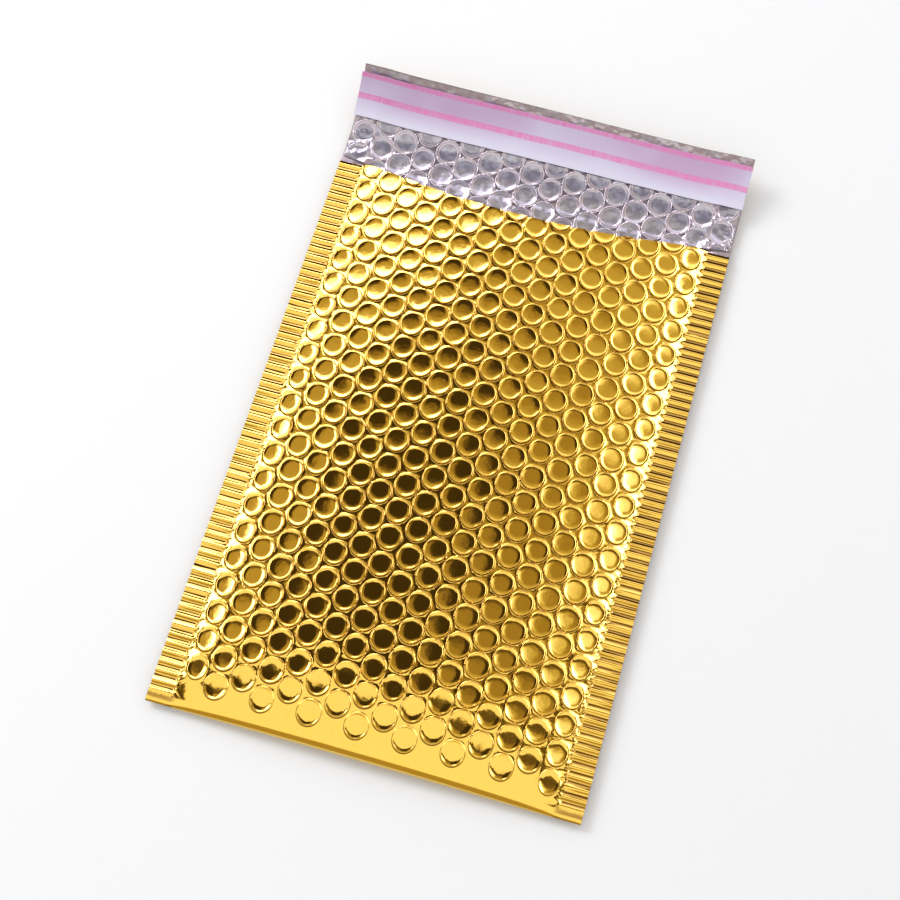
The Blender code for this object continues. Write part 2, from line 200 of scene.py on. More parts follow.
def bubbleRise(x, y, wall):
    # a leaning, dished disc on a small fillet; the first rows fade out towards the fold
    t, dx, dy, i, j, centreY = nearestBubble(x, y, wall)
    i, j = i.astype(int), j.astype(int)
    height = bubbles["height"] * (1 + bubbles["heightSpread"] * cells["height"][wall, i, j])
    height = height * np.where(alongSeam(i), bubbles["edgeHeight"], 1.0)
    lean = bubbles["tilt"] * (dx * cells["tiltX"][wall, i, j] + dy * cells["tiltY"][wall, i, j])
    lean = lean * bubbles["halfX"] / height
    nearFold = np.clip((bubbles["stepTiltEnd"] - centreY) / bubbles["stepTiltEnd"], 0, 1)
    lean = lean - bubbles["stepTilt"] * nearFold * dy
    fade = np.clip((centreY - bubbles["fadeLow"]) / (bubbles["fadeHigh"] - bubbles["fadeLow"]), 0, 1)
    fillet = bubbles["fillet"] * np.clip(1 - np.clip(t - 1, 0, None) / bubbles["filletReach"], 0, 1) ** 2
    disc = (height * fade * (1 + lean) - fillet) * bubbleShoulder(t)
    rise = np.where(t < 1, fillet + disc - height * bubbleDish(t, i, centreY), fillet)
    return rise if wall == 0 else np.minimum(rise, pouch["grooveBottom"])


def paintedShadeOf(x, s):
    # 1 along the line where a bubble meets the web, for a painted shade line that is open above near the
    # fold, and painted shade in the grooves between the ribs and along the ribs' inner ends
    wall = 0 if np.mean(s) < 0 else 1
    t, _, dy, _, _, centreY = nearestBubble(x, distanceOf(s), wall)
    wave = ribWave(x, distanceOf(s), wall)
    reach = ribReach(x, wave)
    # painted shade in the troughs between the ribs, and a painted shadow band where the ribs end
    groove = np.clip(-0.1 - 1.3 * np.cos(wave + 0.5), 0, 1) * reach
    groove = np.maximum(groove, 0.8 * (reach > 0) * (reach < 0.9))
    # painted shade line round each bubble's foot
    line = np.clip(1 - np.abs(t - bubbles["lineAt"]) / bubbles["lineWidth"], 0, 1)
    line = line * (np.abs(x) < pouch["seamX"])
    nearFold = np.clip(2 * (1 - centreY / bubbles["lineEnd"]), 0, 1)
    return line * (1 - nearFold * np.clip(dy + 0.5, 0, 1)) + ribs["groove"] * groove


# Crimped seams: three ribs to a bubble, with a weaker one between each two
# groove is how strongly painted shade darkens the troughs between the ribs
ribs = {"period": bubbles["pitch"] / 3, "height": 0.27, "between": 0.03, "unevenness": 0.25,
        "crumple": 0.12, "crumpleFrom": 77.6, "crumpleTo": 81.2, "phase": 9.29, "groove": 0.85,
        "start": 79.4, "rounding": 0.45}


def smoothNoise(x, y, scale, seed, octaves=3):
    # a sum of sine waves in random directions, about -1 to 1
    draw = np.random.default_rng(seed)
    total = np.zeros_like(x)
    weight = 0
    for octave in range(octaves):
        for _ in range(5):
            angle, phase = draw.uniform(0, 2 * math.pi, 2)
            k = 2 * math.pi / scale * draw.uniform(0.8, 1.3) * 1.9 ** octave
            total += np.sin(k * (x * math.cos(angle) + y * math.sin(angle)) + phase) / 1.7 ** octave
        weight += 2.2 / 1.7 ** octave
    return total / weight


def ribWave(x, y, wall):
    # phase of the ribs, which wander a little along the seam
    shift = 0.5 * smoothNoise(np.sign(x) * 40, y, 23, 11 + wall, 2) + 0.05 * smoothNoise(x, y, 7, 5)
    return 2 * math.pi * (y - ribs["phase"] + shift) / ribs["period"]


def ribReach(x, wave):
    # 0 beyond the ribs' inner ends, which are rounded, and 1 on the seam
    return np.clip((np.abs(x) - ribs["start"] + ribs["rounding"] * np.cos(wave)) / 0.8, 0, 1)


def seamRise(x, y, wall):
    # cosine ribs across the seam, crests of the front over hollows of the back, and a crumpled band
    # beside them
    wave = ribWave(x, y, wall)
    inSeam = ribReach(x, wave)
    ridge = ribs["height"] * np.cos(wave) + ribs["between"] * np.cos(2 * wave + 0.6)
    ridge = ridge * (1 + ribs["unevenness"] * smoothNoise(x * 0.25, y, 9, 21 + wall))
    side = 1 if wall == 0 else -1
    band = np.clip((np.abs(x) - ribs["crumpleFrom"]) / 1.5, 0, 1)
    band = band * np.clip((ribs["crumpleTo"] - np.abs(x)) / 1.2, 0, 1)
    return side * ridge * inSeam + ribs["crumple"] * band * smoothNoise(x, y, 5.5, 31 + wall)


def wallRise(x, y, wall):
    inBubbles = np.clip((pouch["seamX"] + 0.2 - np.abs(x)) / 1.0, 0, 1)
    return bubbleRise(x, y, wall) * inBubbles + seamRise(x, y, wall)


# Points of the meshes. A bubble's rings are given as shares of its half width
rings = {"turns": (0.45, 0.66, 0.79, 0.88, 0.945, 0.978, 1.0, 1.06), "around": 28,
         "backTurns": (0.4, 0.70, 0.78, 0.88, 0.955, 1.0), "backAround": 20, "beforeSeam": 1.7}
sharpAngle = math.radians(70)


def ringPoints(low, high, wall, turns, around):
    # rings of points round each bubble, and a few in the grooves between
    first, last = int((low - 12) / bubbles["pitch"]) - 1, int(high / bubbles["pitch"]) + 1
    column, row = np.meshgrid(np.arange(bubbles["columns"]), np.arange(max(first, 0), last))
    column, row = column.ravel().astype(float), row.ravel().astype(float)
    cx, cy = bubbleCentres(column, row, wall)
    halfX, halfY = bubbleHalves(column.astype(int), row.astype(int), wall)
    angle = (np.arange(around) + 0.5) * 2 * math.pi / around
    points = [np.stack([cx, cy], axis=1)]
    for turn in turns:
        ringX = cx[:, None] + (halfX * turn)[:, None] * np.cos(angle)
        ringY = cy[:, None] + (halfY * turn)[:, None] * np.sin(angle)
        points.append(np.stack([ringX, ringY], axis=2).reshape(-1, 2))
    x, y = latticePlace(column, row)
    for side in (-1, 1):
        points.append(np.stack([x + side * bubbles["step"] * 2 / 3, y], axis=1))
    points = np.concatenate(points)
    inside = (points[:, 1] > low) & (points[:, 1] < high)
    inside = inside & (np.abs(points[:, 0]) < pouch["seamX"] - rings["beforeSeam"])
    return np.unique(np.round(points[inside], 3), axis=0)


def gridPoints(xs, ys):
    x, y = np.meshgrid(xs, ys)
    return np.stack([x.ravel(), y.ravel()], axis=1)


def outlineOf(corners, gaps):
    # points along a closed outline, about a gap apart (one gap for each side)
    points = []
    for (x0, s0), (x1, s1), gap in zip(corners, corners[1:] + corners[:1], gaps):
        count = max(1, round(math.hypot(x1 - x0, s1 - s0) / gap))
        t = np.arange(count)[:, None] / count
        points.append(np.array([x0, s0]) * (1 - t) + np.array([x1, s1]) * t)
    return np.concatenate(points)


def fillOutline(outline, inside):
    # triangles through the outline's points and those inside it, and where the outline's points went
    points = np.concatenate([outline, inside])
    loop = [list(range(len(outline)))]
    made = delaunay_2d_cdt([tuple(p) for p in points.tolist()], [], loop, 1, 0.00001)
    flat = np.array([tuple(v) for v in made[0]])
    place = {old: new for new, olds in enumerate(made[3]) for old in olds}
    return flat, np.array(made[2], dtype=np.int32), np.array([place[k] for k in range(len(outline))])


def makeMesh(name, positions, faces, materials, slots, uv, values):
    mesh = bpy.data.meshes.new(name)
    mesh.vertices.add(len(positions))
    mesh.vertices.foreach_set("co", (positions * mm).astype(np.float32).ravel())
    mesh.loops.add(faces.size)
    mesh.loops.foreach_set("vertex_index", faces.ravel())
    mesh.polygons.add(len(faces))
    mesh.polygons.foreach_set("loop_start", np.arange(0, faces.size, 3, dtype=np.int32))
    mesh.update(calc_edges=True)
    for material in materials:
        mesh.materials.append(material)
    mesh.polygons.foreach_set("material_index", slots.astype(np.int32))
    layer = mesh.uv_layers.new(name="web")
    layer.data.foreach_set("uv", uv[faces.ravel()].astype(np.float32).ravel())
    for key, value in values.items():
        mesh.attributes.new(key, "FLOAT", "POINT").data.foreach_set("value", value.astype(np.float32))
    mesh.shade_smooth()
    mesh.set_sharp_from_angle(angle=sharpAngle)
    mesh.validate()
    piece = bpy.data.objects.new(name, mesh)
    bpy.context.scene.collection.objects.link(piece)
    return piece


def makeSlab(name, outline, outsidePoints, outsideDepth, insidePoints, insideDepth, materials, values=None):
    # a closed sheet: outer face, inner face and the band round the edge that joins them
    flatOut, facesOut, rimOut = fillOutline(outline, outsidePoints)
    flatIn, facesIn, rimIn = fillOutline(outline, insidePoints)
    outside = foldWeb(flatOut[:, 0], flatOut[:, 1], outsideDepth(flatOut[:, 0], flatOut[:, 1]))
    inside = foldWeb(flatIn[:, 0], flatIn[:, 1], insideDepth(flatIn[:, 0], flatIn[:, 1]))
    a, b = rimOut, rimIn + len(flatOut)
    nextA, nextB = np.roll(a, -1), np.roll(b, -1)
    band = np.concatenate([np.stack([a, nextA, nextB], 1), np.stack([a, nextB, b], 1)])
    faces = np.concatenate([facesOut[:, ::-1], facesIn + len(flatOut), band]).astype(np.int32)
    slots = np.zeros(len(faces))
    slots[len(facesOut):len(facesOut) + len(facesIn)] = len(materials) - 1
    flat = np.concatenate([flatOut, flatIn])
    uv = np.stack([(flat[:, 0] + pouch["half"]) / webWidth, flat[:, 1] / webWidth], axis=1)
    data = {key: function(flat[:, 0], flat[:, 1]) for key, function in (values or {}).items()}
    return makeMesh(name, np.concatenate([outside, inside]), faces, materials, slots, uv, data)


# Materials
def newGroup(name, inputs, outputs):
    tree = bpy.data.node_groups.new(name, "ShaderNodeTree")
    for label, kind, value in inputs:
        socket = tree.interface.new_socket(name=label, in_out="INPUT", socket_type=kind)
        if value is not None:
            socket.default_value = value
    for label, kind in outputs:
        tree.interface.new_socket(name=label, in_out="OUTPUT", socket_type=kind)
    return tree, tree.nodes.new("NodeGroupInput"), tree.nodes.new("NodeGroupOutput")


def addNode(tree, kind, links=None, **settings):
    node = tree.nodes.new(kind)
    for key, value in settings.items():
        setattr(node, key, value)
    for socket, value in (links or {}).items():
        target = node.inputs[socket]
        if isinstance(value, bpy.types.NodeSocket):
            tree.links.new(value, target)
        else:
            target.default_value = value
    return node


def calculate(tree, operation, *values):
    return addNode(tree, "ShaderNodeMath", dict(enumerate(values)), operation=operation).outputs[0]


def mixColours(tree, amount, first, second):
    return addNode(tree, "ShaderNodeMix", {0: amount, 6: first, 7: second}, data_type="RGBA").outputs[2]


def mapRange(tree, value, bounds, ends=(0.0, 1.0), way="LINEAR"):
    return addNode(tree, "ShaderNodeMapRange", {
        "Value": value, "From Min": bounds[0], "From Max": bounds[1], "To Min": ends[0], "To Max": ends[1]},
        interpolation_type=way).outputs[0]


def addNoise(tree, where, scale, detail, roughness=0.5):
    return addNode(tree, "ShaderNodeTexNoise", {
        "Vector": where, "Scale": scale, "Detail": detail, "Roughness": roughness}).outputs["Fac"]


def addRamp(tree, value, stops):
    node = addNode(tree, "ShaderNodeValToRGB", {"Fac": value})
    elements = node.color_ramp.elements
    while len(elements) < len(stops):
        elements.new(0.5)
    for element, (place, colour) in zip(elements, stops):
        element.position = place
        element.color = colour
    return node.outputs["Color"]


def addBump(tree, shader, height, strength, distance):
    bump = addNode(tree, "ShaderNodeBump", {"Height": height, "Strength": strength, "Distance": distance})
    tree.links.new(bump.outputs[0], shader.inputs["Normal"])


def makeCrinkleGroup():
    # height of the fine unevenness of pressed film: soft swells with sharper creases over them
    tree, start, end = newGroup("filmCrinkle", [
        ("Vector", "NodeSocketVector", None), ("Swell Scale", "NodeSocketFloat", 120.0),
        ("Crease Scale", "NodeSocketFloat", 420.0), ("Crease Share", "NodeSocketFloat", 0.3)],
        [("Height", "NodeSocketFloat"), ("Mask", "NodeSocketFloat")])
    swell = addNoise(tree, start.outputs["Vector"], start.outputs["Swell Scale"], 2.0)
    crease = addNoise(tree, start.outputs["Vector"], start.outputs["Crease Scale"], 3.0, 0.55)
    share = calculate(tree, "MULTIPLY", crease, start.outputs["Crease Share"])
    tree.links.new(calculate(tree, "ADD", swell, share), end.inputs["Height"])
    tree.links.new(crease, end.inputs["Mask"])
    return tree


crinkleGroup = makeCrinkleGroup()


def startMaterial(name, **sockets):
    material = bpy.data.materials.new(name)
    material.use_nodes = True
    tree = material.node_tree
    shader = tree.nodes["Principled BSDF"]
    for label, value in sockets.items():
        shader.inputs[label.replace("_", " ")].default_value = value
    where = addNode(tree, "ShaderNodeTexCoord")
    return material, tree, shader, where.outputs["Object"]


# the third colour is the dark brown of painted shade along the bubbles' feet and in the rib grooves
goldLook = {"colour": (0.80, 0.545, 0.11, 1), "deep": (0.75, 0.48, 0.08, 1), "paintedShade": (0.20, 0.10, 0.01, 1),
            "roughness": (0.05, 0.09), "swell": 160.0, "crease": 600.0, "share": 0.25, "bump": 0.00005}


def makeGold():
    # bright metal that wanders a little in tint and gloss; the attribute worked out by paintedShadeOf()
    # mixes painted shade, a dark brown, into the base colour
    material, tree, shader, where = startMaterial(
        "goldFilm", Metallic=1.0, Coat_Weight=0.6, Coat_Roughness=0.03)
    film = addNode(tree, "ShaderNodeGroup", {
        "Vector": where, "Swell Scale": goldLook["swell"], "Crease Scale": goldLook["crease"],
        "Crease Share": goldLook["share"]}, node_tree=crinkleGroup)
    tint = mixColours(tree, film.outputs["Mask"], goldLook["deep"], goldLook["colour"])
    # painted shade: the attribute darkens the gold towards dark brown
    paintedShade = addNode(tree, "ShaderNodeAttribute", attribute_name="paintedShade").outputs["Fac"]
    tree.links.new(mixColours(tree, paintedShade, tint, goldLook["paintedShade"]), shader.inputs["Base Color"])
    rough = mapRange(tree, film.outputs["Mask"], (0.3, 0.75), goldLook["roughness"])
    tree.links.new(rough, shader.inputs["Roughness"])
    addBump(tree, shader, film.outputs["Height"], 1.0, goldLook["bump"])
    return material


silverLook = {"colour": (0.26, 0.215, 0.26, 1), "pale": (0.42, 0.37, 0.43, 1), "roughness": 0.3,
              "bump": 0.0002}


def makeSilver():
    material, tree, shader, where = startMaterial(
        "filmInside", Metallic=0.6, Roughness=silverLook["roughness"])
    film = addNode(tree, "ShaderNodeGroup", {"Vector": where}, node_tree=crinkleGroup)
    tint = mixColours(tree, film.outputs["Mask"], silverLook["colour"], silverLook["pale"])
    tree.links.new(tint, shader.inputs["Base Color"])
    addBump(tree, shader, film.outputs["Height"], 0.6, silverLook["bump"])
    return material


# the ring colour is a painted highlight, and the cloud colour is a painted reflection
clearLook = {
    "gap": (0.33, 0.28, 0.34, 1), "top": (0.27, 0.25, 0.33, 1), "ring": (0.66, 0.60, 0.70, 1),
    "cloudyReflection": (0.48, 0.47, 0.58, 1), "band": (0.43, 0.35, 0.42, 1), "roughness": 0.1,
    "swell": 260.0, "bump": 0.0002,
    "stops": ((0.0, "top"), (0.68, "top"), (0.73, "ring"), (0.78, "band"), (0.89, "band"), (0.95, "ring"),
              (1.0, "gap")),
}


def makeClear():
    # clear cells over silvery film: dark between them, painted highlights as pale rings at each shoulder and
    # painted cloudy reflections on the tops; "turn" runs from 0 in a bubble's middle to 1 at its edge
    material, tree, shader, where = startMaterial(
        "clearBubble", Roughness=clearLook["roughness"], Coat_Weight=1.0, Coat_Roughness=0.04, Metallic=0.25)
    turn = addNode(tree, "ShaderNodeAttribute", attribute_name="turn").outputs["Fac"]
    # painted highlights: the ramp puts pale rings at each shoulder
    ring = addRamp(tree, turn, [(place, clearLook[key]) for place, key in clearLook["stops"]])
    film = addNode(tree, "ShaderNodeGroup", {"Vector": where, "Swell Scale": clearLook["swell"]},
                   node_tree=crinkleGroup)
    # painted reflection: noise lays pale cloudy patches over the film
    cloudyReflection = mapRange(tree, film.outputs["Height"], (0.58, 0.80), (0.0, 0.8))
    tree.links.new(mixColours(tree, cloudyReflection, ring, clearLook["cloudyReflection"]), shader.inputs["Base Color"])
    addBump(tree, shader, film.outputs["Height"], 0.6, clearLook["bump"])
    return material


stripLook = {"base": (0.66, 0.59, 0.80, 1), "pale": (0.74, 0.71, 0.88, 1), "mauve": (0.57, 0.38, 0.63, 1),
             "pink": (0.78, 0.22, 0.52, 1), "stripes": ((0.0, 2.2), (9.5, 12.3)), "wander": 0.8}
strip = {"start": 24.0, "width": 20.5, "thick": 0.25, "left": -90.6, "right": 90.1, "lift": 2.6}
adhesive = {"start": 26.5, "end": 42.0, "half": 88.0, "depth": (2.0, 2.3), "colour": (0.86, 0.83, 0.70, 1)}


def makeStripMaterial():
    # lavender-white film with two printed stripes, worn across in dashes; its UV runs along the web
    material, tree, shader, where = startMaterial(
        "releaseFilm", Roughness=0.28, Coat_Weight=0.3, Coat_Roughness=0.2)
    uv = addNode(tree, "ShaderNodeUVMap", uv_map="web")
    split = addNode(tree, "ShaderNodeSeparateXYZ", {0: uv.outputs[0]})
    along = calculate(tree, "MULTIPLY", split.outputs["Y"], webWidth)
    fromEnd = calculate(tree, "SUBTRACT", mouthS + strip["start"] + strip["width"], along)
    patchy = mapRange(tree, addNoise(tree, where, 24.0, 1.0), (0.42, 0.62))
    colour = mixColours(tree, patchy, stripLook["base"], stripLook["mauve"])
    colour = mixColours(tree, mapRange(tree, fromEnd, (10.0, 19.0)), colour, stripLook["pale"])
    stretch = addNode(tree, "ShaderNodeMapping", {"Vector": where, "Scale": (1.0, 0.08, 0.08)})
    worn = mapRange(tree, addNoise(tree, stretch.outputs[0], 900.0, 2.0), (0.3, 0.7), (1.0, 0.55))
    wobble = calculate(tree, "SUBTRACT", addNoise(tree, where, 60.0, 2.0), 0.5)
    moved = calculate(tree, "MULTIPLY_ADD", wobble, stripLook["wander"], fromEnd)
    for low, high in stripLook["stripes"]:
        rising = mapRange(tree, moved, (low - 0.15, low + 0.15))
        falling = mapRange(tree, moved, (high - 0.2, high + 0.2), (1.0, 0.0))
        amount = calculate(tree, "MULTIPLY", calculate(tree, "MULTIPLY", rising, falling), worn)
        colour = mixColours(tree, amount, colour, stripLook["pink"])
    tree.links.new(colour, shader.inputs["Base Color"])
    return material


def makeHotMelt():
    material, tree, shader, where = startMaterial("hotMelt", Roughness=0.25, Base_Color=adhesive["colour"])
    addBump(tree, shader, addNoise(tree, where, 300.0, 2.0), 1.0, 0.0002)
    return material


goldFilm = makeGold()
filmInside = makeSilver()
clearBubble = makeClear()
releaseFilm = makeStripMaterial()
hotMelt = makeHotMelt()
print("materials ready")


# Outer film, in two pieces that meet at the nose of the fold
def filmThickness(x, s):
    return np.where(np.abs(x) > pouch["seamX"] - 0.5, pouch["seamFilm"], pouch["film"])


def filmDepth(wall):
    # the relief of the outer face, which sets in over 2 mm beyond the fold
    def depth(x, s):
        flat = np.clip((np.abs(s) - pouch["foldArc"]) / 2, 0, 1)
        return -wallRise(x, distanceOf(s), wall) * flat
    return depth


seamStations = np.array([78.7, 79.15, 79.6, 80.05, 80.6, 81.2, 82.4, 84.2, 86.4, 88.6])
seamRowStep = ribs["period"] / 13
foldRows = np.linspace(-1, 1, 15) * pouch["foldArc"]
foldX = np.linspace(-88, 88, 89)

# Stations of the smooth inner faces, with more of them across the flap and beside the seams
coarseX = np.array([-66, -50, -30, -10, 10, 30, 50, 66.0])
hemX = np.array([-85, -79.9, -79.2, -76, -71, 71, 76, 79.2, 79.9, 85])
frontY = np.array([10, 20, 30, 42, 80, 120, 160, 200, 230, 245, 256.0])
backY = np.array([10, 30, 60, 100, 140, 180, 220, 250, 262, 268, 274, 280, 286, 292, 298, 304.0])
linerFrontY = np.array([250, 220, 180, 140, 100, 60, 42, 30, 20, 10.0])
linerBackY = np.array([10, 40, 80, 120, 160, 200, 230.0])


def wallPoints(low, high, wall, turns, around):
    inner = ringPoints(low, high, wall, turns, around)
    rows = np.arange(low, high, seamRowStep)
    seams = np.concatenate([gridPoints(side * seamStations, rows) for side in (-1, 1)])
    points = np.concatenate([inner, seams])
    return np.stack([points[:, 0], stationOf(points[:, 1], -1 if wall == 0 else 1)], axis=1)


def coarsePoints(rows, end, side):
    hem = gridPoints(hemX, stationOf(np.arange(8, end - 3, 4.0), side))
    return np.concatenate([gridPoints(coarseX, stationOf(rows, side)), hem])


def cutMouth(outline):
    # pulls an outline's points on the front edge back to the curved cut
    atEdge = outline[:, 1] < -mouthS + 0.6
    outline[atEdge, 1] += mouthCut(outline[atEdge, 0])
    return outline


def behindEdge(points, gap):
    return points[points[:, 1] > -mouthS + mouthCut(points[:, 0]) + gap]


def makeOuterFilm():
    edge, low = pouch["half"], pouch["foldY"] + 0.5
    points = np.concatenate([
        wallPoints(low, pouch["length"] - 0.4, 0, rings["turns"], rings["around"]),
        gridPoints(foldX, foldRows[foldRows < -0.1])])
    outline = cutMouth(outlineOf([(-edge, -mouthS), (edge, -mouthS), (edge, 0.0), (-edge, 0.0)],
                                 [0.5, seamRowStep, 2.0, seamRowStep]))
    coarse = coarsePoints(frontY, pouch["length"], -1)
    front = makeSlab("gold_front", outline, behindEdge(points, 0.25), filmDepth(0), behindEdge(coarse, 1.5),
                     filmThickness, [goldFilm, filmInside], {"paintedShade": paintedShadeOf})

    whole = pouch["length"] + flap["length"]
    flapEnd = mouthS + flap["length"]
    points = np.concatenate([
        wallPoints(low, whole - 0.5, 1, rings["backTurns"], rings["backAround"]),
        gridPoints(foldX, foldRows[foldRows > 0.1])])
    outline = outlineOf([(-edge, 0.0), (edge, 0.0), (edge, flapEnd), (-edge, flapEnd)],
                        [2.0, seamRowStep, 1.0, seamRowStep])
    back = makeSlab("gold_back", outline, points, filmDepth(1), coarsePoints(backY, whole, 1),
                    filmThickness, [goldFilm, filmInside], {"paintedShade": paintedShadeOf})
    for piece in (front, back):
        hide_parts("outer_film")
        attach(piece, "root")
    print("outer film:", len(front.data.polygons), "and", len(back.data.polygons), "faces")


# Clear liner: plain inside the pouch, domed on the flap, pressed flat under the strip
liner = {"depth": 0.7, "thick": 0.7, "flapThick": 0.4, "dome": 1.25, "pressed": 0.6,
         "domeStart": -24.0, "domeEnd": 25.0, "half": 75.5, "flapHalf": 89.6, "root": 1.0, "flare": 2.4,
         "crush": 0.35, "crushFrom": 79.5, "spread": 1.15, "endTurn": 0.84}


def linerTop(x, s):
    # base thickness, domes that are pressed low under the strip and crushed at the sides, and a
    # crumpled edge beyond the strip; u is the way past the mouth
    u = s - mouthS
    y = distanceOf(s)
    onFlap = np.clip(u / 2, 0, 1)
    base = liner["thick"] + (liner["flapThick"] - liner["thick"]) * onFlap
    t, _, _, column, _, centreY = nearestBubble(x, y, 1, 1)
    t = t / liner["spread"]
    near = np.clip((u - liner["domeStart"]) / 6, 0, 1)
    shaped = np.where(t < 1, bubbleShoulder(t) - bubbleDish(t, column, centreY), 0.0)
    pressed = np.clip((u - liner["domeEnd"]) / 2, 0, 1)
    height = liner["dome"] * (1 - pressed) + liner["pressed"] * pressed
    crushed = np.clip((np.abs(x) - liner["crushFrom"]) / 1.5, 0, 1)
    crease = liner["crush"] * (0.6 + 0.6 * smoothNoise(x, y, 5, 77))
    dome = height * shaped * (1 - 0.35 * crushed) + crease * crushed
    past = np.clip((u - strip["start"] - strip["width"] + 0.5) / 1.0, 0, 1)
    dome = dome * (1 - past) + past * (0.5 + 0.45 * smoothNoise(x, y, 6, 55))
    return liner["depth"] + base + dome * near


def linerTurn(x, s):
    t = np.clip(nearestBubble(x, distanceOf(s), 1, 1)[0] / liner["spread"], 0, 1)
    smooth = (s > mouthS + strip["start"] + strip["width"]) | (s < mouthS + liner["domeStart"])
    return np.where(smooth, liner["endTurn"], t)


def level(depth):
    return lambda x, s: np.full_like(x, depth)


def makeLiner():
    end = mouthS + flap["length"] - 0.3
    half, wide = liner["half"], liner["flapHalf"]
    root, flare = mouthS + liner["root"], mouthS + liner["root"] + liner["flare"]
    corners = [(-half, -mouthS + 0.5), (half, -mouthS + 0.5), (half, root), (wide, flare), (wide, end),
               (-wide, end), (-wide, flare), (-half, root)]
    outline = cutMouth(outlineOf(corners, [2.0, 4.0, 1.0, 0.6, 0.6, 0.6, 1.0, 4.0]))
    rows = np.concatenate([stationOf(linerFrontY, -1), foldRows, stationOf(linerBackY, 1)])
    plain = behindEdge(gridPoints(coarseX, rows), 1.5)
    under = np.concatenate([plain, gridPoints(np.linspace(-84, 84, 15), mouthS + np.arange(6, 46, 6.0))])

    turns = [turn * liner["spread"] for turn in rings["turns"][:-1]]
    whole = pouch["length"] + flap["length"]
    domes = ringPoints(pouch["length"] - 26, whole - 1, 1, turns, rings["around"])
    away = np.abs(domes[:, 0])
    domes = domes[(away < 79) & ((domes[:, 1] > pouch["length"] + 4) | (away < 75))]
    domes = np.stack([domes[:, 0], stationOf(domes[:, 1], 1)], axis=1)
    sideX, sideS = np.arange(79.3, 89.4, 0.6), np.arange(flare + 0.5, end - 0.3, 0.6)
    sides = np.concatenate([gridPoints(side * sideX, sideS) for side in (-1, 1)])
    edge = gridPoints(np.arange(-78, 78, 1.0), mouthS + np.arange(44, 47.4, 0.8))
    top = np.concatenate([plain, domes, sides, edge])
    piece = makeSlab("clear_liner", outline, under, level(liner["depth"]), top, linerTop, [clearBubble],
                     {"turn": linerTurn})
    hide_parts("bubble_liner")
    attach(piece, "root")
    print("liner:", len(piece.data.polygons), "faces")


def makeStrip():
    low, high = mouthS + strip["start"], mouthS + strip["start"] + strip["width"]
    left, right = strip["left"], strip["right"]
    outline = outlineOf([(left, low), (right, low), (right, high), (left, high)], [1.0, 1.0, 1.0, 1.0])
    grid = gridPoints(np.arange(left + 1, right, 1.5), np.arange(low + 1, high - 0.4, 1.5))

    def under(x, s):
        return strip["lift"] + 0.05 * smoothNoise(x, s, 30, 91)

    def over(x, s):
        return under(x, s) + strip["thick"] + 0.04 * smoothNoise(x, s * 0.3, 14, 92)

    piece = makeSlab("release_film", outline, grid, under, grid, over, [releaseFilm])
    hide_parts("release_strip")
    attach(piece, "root")
    print("release strip:", len(piece.data.polygons), "faces")


def makeAdhesive():
    low, high, half = mouthS + adhesive["start"], mouthS + adhesive["end"], adhesive["half"]
    outline = outlineOf([(-half, low), (half, low), (half, high), (-half, high)], [2.0, 2.0, 2.0, 2.0])
    grid = gridPoints(np.arange(-half + 2, half, 2.5), np.arange(low + 2, high - 0.8, 2.5))
    under, over = adhesive["depth"]
    piece = makeSlab("hot_melt", outline, grid, level(under), grid, level(over), [hotMelt])
    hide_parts("adhesive_band")
    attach(piece, "root")
    print("adhesive:", len(piece.data.polygons), "faces")


makeOuterFilm()
makeLiner()
makeStrip()
makeAdhesive()


# Stage: pale floor, soft studio light and the camera
stage = {"floor": 4.0, "drop": 0.0001, "floorColour": (0.925, 0.93, 0.945, 1)}
camera = {"place": (0.08143, -0.29755, 0.7140), "tilt": 22.522, "turn": 16.632, "roll": -0.483,
          "lens": 72.84, "sensor": 36}


def makeFloor():
    half, z = stage["floor"] / 2, -stage["drop"]
    mesh = bpy.data.meshes.new("floor")
    corners = [(-half, -half, z), (half, -half, z), (half, half, z), (-half, half, z)]
    mesh.from_pydata(corners, [], [(0, 1, 2, 3)])
    floor = bpy.data.objects.new("floor", mesh)
    bpy.context.scene.collection.objects.link(floor)
    mesh.materials.append(startMaterial("paleFloor", Roughness=0.6, Base_Color=stage["floorColour"])[0])


def makeCamera():
    data = bpy.data.cameras.new("camera")
    data.lens = camera["lens"]
    data.sensor_width = camera["sensor"]
    thing = bpy.data.objects.new("camera", data)
    turned = Matrix.Rotation(math.radians(camera["turn"]), 4, "Z")
    turned = turned @ Matrix.Rotation(math.radians(camera["tilt"]), 4, "X")
    turned = turned @ Matrix.Rotation(math.radians(camera["roll"]), 4, "Z")
    thing.matrix_world = Matrix.Translation(camera["place"]) @ turned
    bpy.context.scene.collection.objects.link(thing)
    bpy.context.scene.camera = thing


